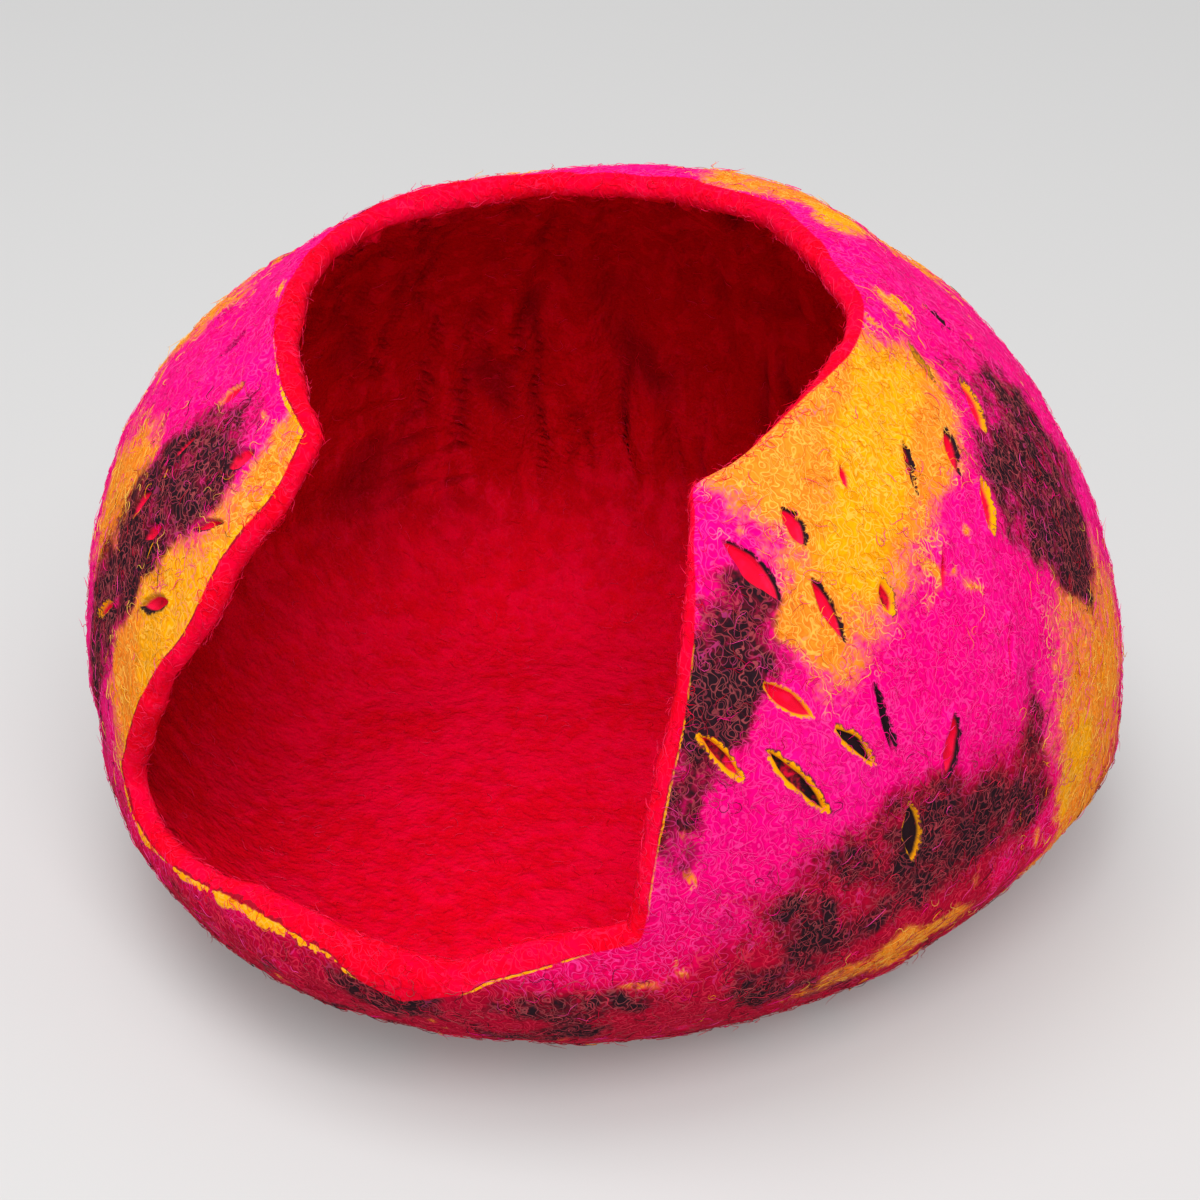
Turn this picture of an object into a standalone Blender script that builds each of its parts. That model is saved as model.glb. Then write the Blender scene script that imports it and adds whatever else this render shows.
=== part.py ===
"""Felt cat cave: one wet-felted shell with a keyhole mouth and blind slashes in its outer layers.

The shell is a rounded body cut open at the front. A point of the body is named by two angles, its
bearing round the body (0 along +X, -90 at the front) and its lift (-90 at the middle of the base,
90 at the crown). The mouth's rim is a closed line of such points, and the felt runs from it to a
point low on the back, so every mesh row starts on the rim.
"""
import bpy
import numpy as np

WALL = 0.012              # thickness of the felt
LIP_EXTRA = 0.006         # more felt than that along the low front lip
LIP_LIFT = -15.0          # lift of the lip
LIP_REACH = 20.0          # degrees over which the lip thins to the wall
MOUTH_MIDDLE = (-91.0, 45.0)   # bearing and lift of the middle of the mouth
SLASH_DEPTH = 0.004       # how far a slash goes into the outer layers
SLASH_ABOVE = 0.004       # how far a slash's cutter stands out of the felt
BED_WIDTH = 0.55          # width of a slash's bed, as a share of its opening
BED_LENGTH = 0.82         # length of the bed, likewise
UPPER_STEPS = 40          # mesh columns along the upper hole's edge
LOWER_STEPS = 42          # mesh columns along the lower opening's edge
ROUND_STEPS = 4           # mesh rows round the edge of the felt
OUTER_ROWS = 20
INNER_ROWS = 12
ROW_CROWD = 1.25          # above 1, the rows crowd towards the rim
SLASH_SIDE = 4            # points along each side of a slash
SAMPLE_STEP = 0.004       # how far apart the surface is sampled for its normal
UPRIGHT = np.array([0.0, 0.0, 1.0])
OFF_THE_POLE = np.array([1e-6, 0.0, 0.0])   # keeps a sideways direction at the poles
MM = 0.001
ROUGHNESS = 0.95
FELT_COLOUR = (0.80, 0.02, 0.16, 1.0)

# The body's section: lift in degrees, height and radius in metres.
SECTION = np.array([
    (-90, 0.000, 0.000),
    (-60, 0.000, 0.150),
    (-50, 0.006, 0.176),
    (-40, 0.020, 0.202),
    (-30, 0.045, 0.229),
    (-18, 0.080, 0.247),
    (-6, 0.118, 0.246),
    (8, 0.171, 0.237),
    (24, 0.222, 0.217),
    (40, 0.263, 0.190),
    (56, 0.295, 0.155),
    (72, 0.323, 0.118),
    (90, 0.338, 0.000),
])

# How the hand-made body departs from round: height, sideways and backward shift in metres,
# then two-sided and three-sided bulges as shares of the radius.
UNEVEN = np.array([
    (0.000, -0.002, 0.008, 0.000, 0.000, 0.000, 0.000),
    (0.050, -0.002, 0.008, -0.012, 0.011, 0.007, 0.030),
    (0.170, -0.001, -0.002, 0.000, 0.002, 0.001, 0.006),
    (0.330, 0.004, -0.024, 0.003, 0.003, -0.011, -0.009),
])

# Soft hollows pressed into the body: bearing, lift and reach in degrees, depth in metres.
DENTS = np.array([
    (160, 68, 20, 0.004),
    (116, 74, 10, 0.003),
])

# The rim as bearing and lift, from the left flap's corner over the back to the right flap's.
UPPER_RIM = np.array([
    (-119, 52.5), (-128.5, 56), (-143, 61.5), (-159, 67), (-174, 69), (-190, 69), (-206, 70.5),
    (-222, 72.5), (-240, 74), (-256, 76), (-274, 76.5), (-292, 77), (-306, 76), (-320, 76),
    (-335, 75), (-347, 73.5), (-357, 69.5), (-368, 66.5), (-379, 64), (-390, 60.5), (-401, 56),
    (-413, 52),
])

# The rim from the right flap's corner down, along the front lip and up to the left flap's.
LOWER_RIM = np.array([
    (-53, 52), (-55.5, 43), (-57.5, 32), (-60, 19.5), (-62.5, 9.5), (-64.5, -1), (-66, -9),
    (-72, -11), (-79, -14.5), (-85, -17.5), (-92, -17.5), (-99, -15.5), (-107, -14.5),
    (-118, -16), (-125, -16), (-130, -13.5), (-131.5, -8), (-129.5, -2), (-126.5, 6),
    (-121.5, 18), (-119.5, 31), (-117, 42), (-119, 52.5),
])

# The slashes in view: bearing, lift, length and width in millimetres, turn from upright.
SLASHES = np.array([
    (-50, 39, 34, 9, -29),
    (-43, 44, 18, 7, -14),
    (-42, 31, 29, 6, -12),
    (-32, 49, 13, 4, 14),
    (-49, 20, 27, 8, -44),
    (-57, 14, 27, 5, -37),
    (-49, 9, 42, 7, -35),
    (-42, 12, 28, 5, -35),
    (-38, 14, 35, 4, -8),
    (-30, 7, 29, 8, 14),
    (-36, -2, 33, 9, -5),
    (-21, 46, 24, 3, 32),
    (-12, 44, 22, 7, 32),
    (1, 46, 28, 8, 42),
    (0, 56, 22, 4, 28),
    (18, 55, 20, 3, 22),
    (11, 63, 12, 4, 10),
    (-12, 34, 24, 7, 30),
    (-24, 30, 23, 4, 26),
    (-34, 30, 14, 6, 4),
    (-18, 15, 29, 3, 30),
    (-165, 52, 12, 4, -50),
    (-151, 54, 16, 5, -18),
    (-138, 50, 16, 7, -2),
    (-148, 37, 17, 6, -16),
    (-138, 39, 19, 5, 6),
    (-126, 44, 16, 8, 32),
    (-140, 27, 23, 7, 21),
    (-134, 26, 17, 6, 38),
    (-124, 33, 19, 4, 53),
    (-128, 18, 23, 7, 56),
    (-146, 14, 15, 4, 12),
    (-140, 10, 26, 5, 46),
])

# The slashes on the back, spread evenly by steps of the golden ratio.
BACK_SLASHES = 15
BACK_BEARING = (34.0, 182.0)
BACK_LIFT = (-8.0, 58.0)
BACK_LENGTH = (16.0, 32.0)
BACK_WIDTH = (4.0, 8.0)
BACK_TURN = (-38.0, 38.0)
GOLDEN = 0.618034


def smooth_line(at, knots, values):
    """Value at each place along knots, smooth and never past its neighbours."""
    gap = np.diff(knots)
    rise = np.diff(values) / gap
    slope = np.zeros(len(knots))
    slope[0] = rise[0]
    slope[-1] = rise[-1]
    same_way = rise[:-1] * rise[1:] > 0
    before = np.where(same_way, rise[:-1], 1.0)
    after = np.where(same_way, rise[1:], 1.0)
    weight_before = 2 * gap[1:] + gap[:-1]
    weight_after = gap[1:] + 2 * gap[:-1]
    mean = (weight_before + weight_after) / (weight_before / before + weight_after / after)
    slope[1:-1] = np.where(same_way, mean, 0.0)
    span = np.clip(np.searchsorted(knots, at) - 1, 0, len(gap) - 1)
    part = (at - knots[span]) / gap[span]
    start = (1 + 2 * part) * (1 - part) ** 2 * values[span]
    start = start + part * (1 - part) ** 2 * gap[span] * slope[span]
    end = part ** 2 * (3 - 2 * part) * values[span + 1]
    end = end + part ** 2 * (part - 1) * gap[span] * slope[span + 1]
    return start + end


def direction(bearing, lift):
    """Unit vector for a bearing and a lift in degrees."""
    turn = np.radians(bearing)
    rise = np.radians(lift)
    return np.stack([np.cos(rise) * np.cos(turn), np.cos(rise) * np.sin(turn), np.sin(rise)], -1)


def unit(vectors):
    """The vectors at length 1."""
    return vectors / np.linalg.norm(vectors, axis=-1, keepdims=True)


def angle_between(first, second):
    """Angle in radians between unit vectors."""
    return np.arccos(np.clip((first * second).sum(-1, keepdims=True), -1.0, 1.0))


def body_point(way):
    """Point of the outer surface that a unit vector names."""
    turn = np.arctan2(way[..., 1], way[..., 0])
    lift = np.degrees(np.arcsin(np.clip(way[..., 2], -1.0, 1.0)))
    height = smooth_line(lift, SECTION[:, 0], SECTION[:, 1])
    radius = smooth_line(lift, SECTION[:, 0], SECTION[:, 2])
    shift_x, shift_y, oval, oval_turned, three, three_turned = (
        smooth_line(np.clip(height, 0.0, UNEVEN[-1, 0]), UNEVEN[:, 0], UNEVEN[:, column])
        for column in range(1, 7))
    bulge = oval * np.cos(2 * turn) + oval_turned * np.sin(2 * turn)
    bulge = bulge + three * np.cos(3 * turn) + three_turned * np.sin(3 * turn)
    radius = radius * (1 + bulge)
    point = np.stack([radius * np.cos(turn) + shift_x, radius * np.sin(turn) + shift_y, height], -1)
    for bearing, middle_lift, reach, depth in DENTS:
        aside = np.degrees(angle_between(way, direction(bearing, middle_lift)))
        point = point - depth * np.exp(-(aside / reach) ** 2) * way
    return point


def frame_at(way):
    """Outward normal, and the directions up and to the right along the surface."""
    side = unit(np.cross(UPRIGHT, way + OFF_THE_POLE))
    over = np.cross(way, side)
    along = body_point(unit(way + SAMPLE_STEP * side)) - body_point(unit(way - SAMPLE_STEP * side))
    up = unit(body_point(unit(way + SAMPLE_STEP * over)) - body_point(unit(way - SAMPLE_STEP * over)))
    normal = unit(np.cross(along, up))
    return normal, up, np.cross(up, normal)


def even_line(rows, steps):
    """Unit vectors spaced evenly along a rim line, from its first row to just before its last."""
    ways = direction(rows[:, 0], rows[:, 1])
    knots = np.append(0.0, np.cumsum(np.linalg.norm(np.diff(ways, axis=0), axis=1)))
    at = np.linspace(0.0, knots[-1], steps, endpoint=False)
    return unit(np.stack([smooth_line(at, knots, ways[:, axis]) for axis in range(3)], -1))


def toward(start, end, share):
    """Unit vector at a share of the great circle from start to end."""
    angle = angle_between(start, end)
    return (np.sin((1 - share) * angle) * start + np.sin(share * angle) * end) / np.sin(angle)


def wall_at(way):
    """Thickness of the felt: the wall's, and more along the lip at the front."""
    lip = direction(MOUTH_MIDDLE[0], LIP_LIFT)
    aside = np.degrees(angle_between(way, lip))
    return WALL + LIP_EXTRA * np.exp(-(aside / LIP_REACH) ** 2)


def shell_points():
    """Rows of points from the back, over the outside, round the rim and back along the inside."""
    rim = np.concatenate([even_line(UPPER_RIM, UPPER_STEPS), even_line(LOWER_RIM, LOWER_STEPS)])
    back = -direction(*MOUTH_MIDDLE)
    rows = []
    for share in np.linspace(1.0, 0.0, OUTER_ROWS + 1)[1:] ** ROW_CROWD:
        rows.append(body_point(toward(rim, back, share)))

    edge = rows[-1]
    normal = frame_at(rim)[0]
    wall = wall_at(rim)
    along = unit(np.roll(edge, -1, axis=0) - np.roll(edge, 1, axis=0))
    into_mouth = unit(np.cross(along, normal))
    middle = edge - normal * wall / 2
    for turn in np.linspace(0.0, np.pi, ROUND_STEPS + 1)[1:]:
        rows.append(middle + wall / 2 * (normal * np.cos(turn) + into_mouth * np.sin(turn)))

    for share in np.linspace(0.0, 1.0, INNER_ROWS + 1)[1:-1] ** ROW_CROWD:
        way = toward(rim, back, share)
        rows.append(body_point(way) - frame_at(way)[0] * wall_at(way))

    outer_end = body_point(back)
    inner_end = outer_end - frame_at(back)[0] * wall_at(back)
    return np.array(rows), outer_end, inner_end


def shell_faces(row_count, column_count):
    """Quads between the rows, and a fan of triangles at each end."""
    row, column = np.meshgrid(np.arange(row_count - 1), np.arange(column_count), indexing="ij")
    after = (column + 1) % column_count
    corner = row * column_count
    quads = np.stack([corner + column, corner + after,
                      corner + column_count + after, corner + column_count + column], -1)
    first = np.arange(column_count)
    second = (first + 1) % column_count
    last_row = (row_count - 1) * column_count
    outer_end = row_count * column_count
    start_fan = np.stack([second, first, np.full(column_count, outer_end)], -1)
    end_fan = np.stack([last_row + first, last_row + second,
                        np.full(column_count, outer_end + 1)], -1)
    return quads.reshape(-1, 4).tolist() + start_fan.tolist() + end_fan.tolist()


def felt_material():
    material = bpy.data.materials.new("felt_outside")
    material.use_nodes = True
    shader = material.node_tree.nodes["Principled BSDF"]
    shader.inputs["Base Color"].default_value = FELT_COLOUR
    shader.inputs["Roughness"].default_value = ROUGHNESS
    shader.inputs["Metallic"].default_value = 0.0
    return material


def add_object(name, points, faces):
    mesh = bpy.data.meshes.new(name)
    mesh.from_pydata([tuple(point) for point in points], [], faces)
    mesh.update()
    made = bpy.data.objects.new(name, mesh)
    bpy.context.scene.collection.objects.link(made)
    return made


def make_shell():
    rows, outer_end, inner_end = shell_points()
    points = np.concatenate([rows.reshape(-1, 3), [outer_end, inner_end]])
    shell = add_object("felt_shell", points, shell_faces(rows.shape[0], rows.shape[1]))
    shell.data.materials.append(felt_material())
    return shell


def back_slashes():
    """Rows for the slashes on the back, in the columns of SLASHES."""
    number = np.arange(BACK_SLASHES)
    ranges = (BACK_BEARING, BACK_LIFT, BACK_LENGTH, BACK_WIDTH, BACK_TURN)
    steps = (GOLDEN, 1.0 / BACK_SLASHES, GOLDEN ** 2, 3 * GOLDEN, 5 * GOLDEN)
    columns = []
    for (low, high), step in zip(ranges, steps):
        columns.append(low + (high - low) * ((number + 0.5) * step % 1.0))
    return np.stack(columns, -1)


def slash_solid(bearing, lift, length, width, turn):
    """Points of a lens-shaped cutter that stands on the surface and narrows into it."""
    way = direction(bearing, lift)
    normal, up, right = frame_at(way)
    lean = np.radians(turn)
    lengthwise = up * np.cos(lean) + right * np.sin(lean)
    across = np.cross(normal, lengthwise)
    share = np.linspace(-1.0, 1.0, SLASH_SIDE + 1)
    one_side = np.stack([share, 1 - share ** 2], -1)
    other_side = np.stack([-share, share ** 2 - 1], -1)
    outline = np.concatenate([one_side[:-1], other_side[:-1]]) * (length * MM / 2, width * MM / 2)
    levels = (
        # share of the length, share of the width, height above the surface
        (1.0, 1.0, SLASH_ABOVE),
        (1.0, 1.0, 0.0),
        (BED_LENGTH, BED_WIDTH, -SLASH_DEPTH),
    )
    points = []
    for long_share, wide_share, height in levels:
        flat = outline * (long_share, wide_share)
        level = body_point(way) + flat[:, :1] * lengthwise + flat[:, 1:] * across
        points.append(level + height * normal)
    return np.concatenate(points)


def make_slash_cutter():
    """All the cutters as one mesh, each a closed prism of three outlines."""
    around = 2 * SLASH_SIDE
    index = np.arange(around)
    after = (index + 1) % around
    points = []
    faces = []
    for slash in np.concatenate([SLASHES, back_slashes()]):
        base = len(points)
        points.extend(slash_solid(*slash))
        for level in (0, around):
            for first, second in zip(index + base + level, after + base + level):
                faces.append([first, second, second + around, first + around])
        faces.append((index[::-1] + base).tolist())
        faces.append((index + base + 2 * around).tolist())
    cutter = add_object("slash_cutter", points, faces)
    cutter.hide_render = True
    cutter.display_type = "WIRE"
    return cutter


def cut_slashes(shell, cutter):
    cut = shell.modifiers.new("slashes", "BOOLEAN")
    cut.operation = "DIFFERENCE"
    cut.solver = "EXACT"
    cut.object = cutter


def main():
    for old in list(bpy.data.objects):
        bpy.data.objects.remove(old, do_unlink=True)
    shell = make_shell()
    cut_slashes(shell, make_slash_cutter())
    shell.data.shade_smooth()
    shell.data.set_sharp_from_angle(angle=np.radians(40.0))


main()
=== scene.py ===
import math

import bpy
import numpy as np
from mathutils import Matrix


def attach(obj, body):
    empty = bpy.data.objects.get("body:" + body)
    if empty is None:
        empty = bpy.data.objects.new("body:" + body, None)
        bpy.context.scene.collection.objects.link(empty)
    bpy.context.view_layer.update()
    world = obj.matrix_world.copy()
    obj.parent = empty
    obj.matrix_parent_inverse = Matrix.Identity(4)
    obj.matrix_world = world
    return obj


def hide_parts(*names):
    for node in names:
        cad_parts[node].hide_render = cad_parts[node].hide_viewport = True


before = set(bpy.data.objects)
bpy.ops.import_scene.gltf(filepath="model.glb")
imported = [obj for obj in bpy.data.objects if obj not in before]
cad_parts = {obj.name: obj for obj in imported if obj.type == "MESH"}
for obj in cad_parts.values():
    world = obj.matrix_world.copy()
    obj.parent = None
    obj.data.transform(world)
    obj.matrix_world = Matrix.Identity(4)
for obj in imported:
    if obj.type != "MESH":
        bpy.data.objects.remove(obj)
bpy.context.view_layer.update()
scene = bpy.context.scene

body = {
    "wall": 0.012,  # thickness of the felt, metres
    "lipExtra": 0.006,  # more felt than that along the low front lip
    "lipLift": -15.0,  # where the lip is thickest, degrees
    "lipReach": 20.0,  # degrees over which the lip thins to the wall
    # lift in degrees, height and radius in metres
    "section": np.array([
        (-90, 0, 0), (-60, 0, 0.150), (-50, 0.006, 0.176), (-40, 0.020, 0.202),
        (-30, 0.045, 0.229), (-18, 0.080, 0.247), (-6, 0.118, 0.246), (8, 0.171, 0.237),
        (24, 0.222, 0.217), (40, 0.263, 0.190), (56, 0.295, 0.155), (72, 0.323, 0.118),
        (90, 0.338, 0),
    ]),
    # height, shift sideways and back, then two-sided and three-sided bulges as shares
    "uneven": np.array([
        (0, -0.002, 0.008, 0, 0, 0, 0),
        (0.050, -0.002, 0.008, -0.012, 0.011, 0.007, 0.030),
        (0.170, -0.001, -0.002, 0, 0.002, 0.001, 0.006),
        (0.330, 0.004, -0.024, 0.003, 0.003, -0.011, -0.009),
    ]),
    # bearing, lift, reach in degrees, depth in metres
    "dents": ((160, 68, 20, 0.004), (116, 74, 10, 0.003)),
}

mouth = {
    "middle": (-91.0, 45.0),  # bearing and lift of the middle of the mouth
    # bearing and lift from the left flap's corner over the back to the right flap's
    "upperRim": np.array([
        (-119, 52.5), (-128.5, 56), (-143, 61.5), (-159, 67), (-174, 69), (-190, 69),
        (-206, 70.5), (-222, 72.5), (-240, 74), (-256, 76), (-274, 76.5), (-292, 77),
        (-306, 76), (-320, 76), (-335, 75), (-347, 73.5), (-357, 69.5), (-368, 66.5),
        (-379, 64), (-390, 60.5), (-401, 56), (-413, 52),
    ]),
    # then down, along the front lip and up to the left flap's corner
    "lowerRim": np.array([
        (-53, 52), (-55.5, 43), (-57.5, 32), (-60, 19.5), (-62.5, 9.5), (-64.5, -1), (-66, -9),
        (-72, -11), (-79, -14.5), (-85, -17.5), (-92, -17.5), (-99, -15.5), (-107, -14.5),
        (-118, -16), (-125, -16), (-130, -13.5), (-131.5, -8), (-129.5, -2), (-126.5, 6),
        (-121.5, 18), (-119.5, 31), (-117, 42), (-119, 52.5),
    ]),
    "columns": (240, 252),  # mesh columns along the upper and the lower part
    # place along the rim, 0 to 1 over the upper and 1 to 2 over the lower part, the width in mm of
    # the yellow wool that shows there, and how far in mm the red comes over the edge
    "edging": np.array([
        (0.00, 1.6, 0), (0.06, 1.4, 0), (0.14, 0.3, 0.5), (0.30, 0, 0.5), (0.70, 0, 0),
        (0.80, 0.2, -1), (0.86, 0.2, -6), (0.95, 0.2, -8.5), (1.00, 0.1, -7), (1.05, 0, -4),
        (1.12, 0.5, -2), (1.22, 0.7, -1), (1.30, 0.5, -1), (1.33, 0.1, 0), (1.36, 0.8, 0),
        (1.40, 1.2, 0), (1.42, 0.2, 4), (1.445, 0, 11), (1.465, 0.6, 4), (1.48, 2.8, -1),
        (1.52, 4.8, -3), (1.56, 5, -3.5), (1.59, 3, -2), (1.605, 0.6, 0), (1.62, 3.2, -1),
        (1.66, 3.8, -1), (1.69, 1.6, 0), (1.75, 1.2, 0), (1.86, 1, 0), (1.92, 2.2, 0),
        (2.00, 1.8, 0),
    ]),
}


def smoothLine(at, knots, values):
    # Cubics through the values, whose slope at a knot is the weighted harmonic mean of the rises
    # beside it, or none at a peak, so that they never swing past a value.
    gap = np.diff(knots)
    rise = np.diff(values) / gap
    slope = np.zeros(len(knots))
    slope[0], slope[-1] = rise[0], rise[-1]
    sameWay = rise[:-1] * rise[1:] > 0
    before = np.where(sameWay, rise[:-1], 1.0)
    after = np.where(sameWay, rise[1:], 1.0)
    weightBefore = 2 * gap[1:] + gap[:-1]
    weightAfter = gap[1:] + 2 * gap[:-1]
    mean = (weightBefore + weightAfter) / (weightBefore / before + weightAfter / after)
    slope[1:-1] = np.where(sameWay, mean, 0.0)
    span = np.clip(np.searchsorted(knots, at) - 1, 0, len(gap) - 1)
    part = (at - knots[span]) / gap[span]
    start = (1 + 2 * part) * (1 - part) ** 2 * values[span]
    leaving = part * (1 - part) ** 2 * gap[span] * slope[span]
    end = part ** 2 * (3 - 2 * part) * values[span + 1]
    arriving = part ** 2 * (part - 1) * gap[span] * slope[span + 1]
    return (start + leaving) + (end + arriving)


def direction(bearing, lift):
    # Unit vector: cos lift cos bearing, cos lift sin bearing, sin lift.
    turn, rise = np.radians(bearing), np.radians(lift)
    return np.stack([np.cos(rise) * np.cos(turn), np.cos(rise) * np.sin(turn), np.sin(rise)], -1)


def unit(vectors):
    # Each vector divided by its own length.
    return vectors / np.maximum(np.linalg.norm(vectors, axis=-1, keepdims=True), 1e-12)


def angleBetween(first, second):
    # The angle whose cosine is the dot product of two unit vectors.
    return np.arccos(np.clip((first * second).sum(-1, keepdims=True), -1.0, 1.0))


def toward(start, end, share):
    # A share of the great circle from start to end, weighed by the sines of the part angles.
    angle = angleBetween(start, end)
    return (np.sin((1 - share) * angle) * start + np.sin(share * angle) * end) / np.sin(angle)


def smoothStep(low, high, value):
    # 0 below low, 1 above high and 3t^2 - 2t^3 between them; low may be the larger.
    part = np.clip((value - low) / (high - low), 0.0, 1.0)
    return part * part * (3 - 2 * part)


def bodyPoint(way):
    # The felt's face in a direction: height and radius follow the section at its lift, the radius
    # bulges by cosines of its bearing doubled and tripled, and each dent is a bell.
    turn = np.arctan2(way[..., 1], way[..., 0])
    lift = np.degrees(np.arcsin(np.clip(way[..., 2], -1.0, 1.0)))
    section, uneven = body["section"], body["uneven"]
    height = smoothLine(lift, section[:, 0], section[:, 1])
    radius = smoothLine(lift, section[:, 0], section[:, 2])
    shiftX, shiftY, oval, ovalTurned, three, threeTurned = (
        smoothLine(np.clip(height, 0.0, uneven[-1, 0]), uneven[:, 0], values)
        for values in uneven.T[1:])
    radius = radius * (1 + oval * np.cos(2 * turn) + ovalTurned * np.sin(2 * turn)
                       + three * np.cos(3 * turn) + threeTurned * np.sin(3 * turn))
    point = np.stack([radius * np.cos(turn) + shiftX, radius * np.sin(turn) + shiftY, height], -1)
    for bearing, middleLift, reach, depth in body["dents"]:
        aside = np.degrees(angleBetween(way, direction(bearing, middleLift)))
        point = point - depth * np.exp(-(aside / reach) ** 2) * way
    return point


def frameAt(way):
    # Outward normal, and the ways up and to the right along the face, from the differences of
    # points a step to each side and their cross product.
    step = 0.004  # radians
    side = unit(np.cross((0.0, 0.0, 1.0), way + (1e-6, 0.0, 0.0)))
    over = np.cross(way, side)
    along = bodyPoint(unit(way + step * side)) - bodyPoint(unit(way - step * side))
    up = unit(bodyPoint(unit(way + step * over)) - bodyPoint(unit(way - step * over)))
    normal = unit(np.cross(along, up))
    return normal, up, np.cross(up, normal)


def markAt(bearing, lift, turn):
    # A mark's middle and axes: up times cosine plus right times sine of its turn, across, outward.
    way = direction(bearing, lift)
    normal, up, right = frameAt(way)
    lengthwise = up * np.cos(np.radians(turn)) + right * np.sin(np.radians(turn))
    return bodyPoint(way), lengthwise, np.cross(normal, lengthwise), normal


def wallAt(way):
    # The wall's thickness and a bell of extra felt round the middle of the lip.
    aside = np.degrees(angleBetween(way, direction(mouth["middle"][0], body["lipLift"])))
    return body["wall"] + body["lipExtra"] * np.exp(-(aside / body["lipReach"]) ** 2)


def evenLine(rows, steps):
    # Unit vectors spaced evenly along a rim line, up to just before its last row.
    ways = direction(rows[:, 0], rows[:, 1])
    knots = np.append(0.0, np.cumsum(np.linalg.norm(np.diff(ways, axis=0), axis=1)))
    at = np.linspace(0.0, knots[-1], steps, endpoint=False)
    return unit(np.stack([smoothLine(at, knots, ways[:, axis]) for axis in range(3)], -1))


# what scrambles the place of a cube's corner
scramble = {
    "seedStep": 17.31,
    "primes": (73856093, 19349663, 83492791),
    "spread": 1274126177,
    "kept": 0xFFFF,
}


def softNoise(points, size, seed):
    # Numbers scrambled from the corners of cubes, blended by 3t^2 - 2t^3 across them, -1 to 1.
    place = points / size + seed * scramble["seedStep"]
    cell = np.floor(place).astype(np.int64)
    part = place - cell
    part = part * part * (3 - 2 * part)
    total = np.zeros(points.shape[:-1])
    for corner in np.ndindex(2, 2, 2):
        key = ((cell + corner) * scramble["primes"]).sum(-1)
        key = ((key ^ (key >> 13)) * scramble["spread"]) & 0x7FFFFFFF
        value = ((key ^ (key >> 11)) & scramble["kept"]) / scramble["kept"]
        total += value * np.prod(np.where(np.array(corner) == 1, part, 1 - part), axis=-1)
    return total * 2 - 1


def layeredNoise(points, *layers):
    # The sum of noises, each with its strength, size and seed.
    return sum(strength * softNoise(points, size, seed) for strength, size, seed in layers)


def noiseVector(points, size, seed):
    # Three noises of different seeds, one for each axis.
    return np.stack([softNoise(points, size, seed + axis * 7) for axis in range(3)], -1)


slashes = {
    # bearing, lift, length and width in mm, turn from upright, width in mm of the yellow and of the
    # black ring, and how dark the bed is
    "front": np.array([
        (-50, 39, 34, 9, -29, 0, 0.5, 0), (-43, 44, 18, 7, -14, 0, 0.6, 0),
        (-42, 31, 29, 6, -12, 0, 1, 0), (-32, 49, 13, 4, 14, 0, 0, 0),
        (-49, 20, 27, 8, -44, 0.7, 0, 0), (-57, 14, 27, 5, -37, 1.5, 0.6, 0.4),
        (-49, 9, 42, 6, -35, 1.7, 1.2, 0.6), (-42, 12, 28, 5, -35, 1.3, 0.6, 0.9),
        (-38, 14, 35, 4, -8, 0, 0.5, 1), (-30, 7, 29, 8, 14, 0.2, 0.7, 0),
        (-36, -2, 33, 9, -5, 0.6, 0.2, 0.9), (-21, 46, 24, 3, 32, 0, 0.3, 0.5),
        (-12, 44, 22, 7, 32, 0, 0.7, 0.1), (1, 46, 28, 8, 42, 0.6, 0.5, 0),
        (0, 56, 22, 4, 28, 0.5, 0.5, 1), (18, 55, 20, 3, 22, 0, 0.5, 1),
        (11, 63, 12, 4, 10, 1.6, 0, 0.2), (-12, 34, 24, 7, 30, 1.5, 0.5, 0.2),
        (-24, 30, 23, 4, 26, 0, 0, 0.2), (-34, 30, 14, 6, 4, 1.6, 0.6, 0.3),
        (-18, 15, 29, 3, 30, 0, 0, 0.3), (-165, 52, 12, 4, -50, 0, 0.5, 1),
        (-151, 54, 16, 5, -18, 0, 0.5, 1), (-138, 50, 16, 7, -2, 0.5, 0.8, 0.2),
        (-148, 37, 17, 6, -16, 0, 0.3, 0), (-138, 39, 19, 5, 6, 0, 0.8, 0.3),
        (-126, 44, 16, 8, 32, 0, 1.6, 0.3), (-140, 27, 23, 7, 21, 0, 0.9, 0),
        (-134, 26, 17, 6, 38, 0, 1.7, 0.3), (-124, 33, 19, 4, 53, 0, 1.5, 0.2),
        (-128, 18, 23, 7, 56, 0, 2, 0.2), (-146, 14, 15, 4, 12, 0, 0.6, 0.1),
        (-140, 10, 26, 5, 46, 0.8, 1.2, 0.3),
    ]),
    # the back's slashes are spread by steps of the golden ratio between these ends
    "backCount": 15,
    "backEnds": ((34.0, 182.0), (-8.0, 58.0), (16.0, 32.0), (4.0, 8.0), (-38.0, 38.0),
                 (-0.4, 1.5), (0.2, 1.1), (-0.3, 1.0)),
    "golden": 0.618034,
    # mm that the outline wanders, the size of that in metres, and a seed
    "wander": ((0.9, 0.011, 3), (0.35, 0.003, 5)),
    "depth": 0.0034,  # metres from the felt's face down to a slash's bed
    "steep": (0.5, -1.5),  # mm off the cut over which the felt drops to the bed
    "swell": 0.0009,  # metres that the felt swells round a slash
    "swellAt": 1.5,  # mm off the cut, and as wide
    "dome": 0.0004,  # metres that the middle of a bed stands up
    "reach": 12.0,  # mm round a slash where its distance is still told
    "fineReaches": (7.0, 2.6),  # mm round a slash where triangles are cut up, then again
}


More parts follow.
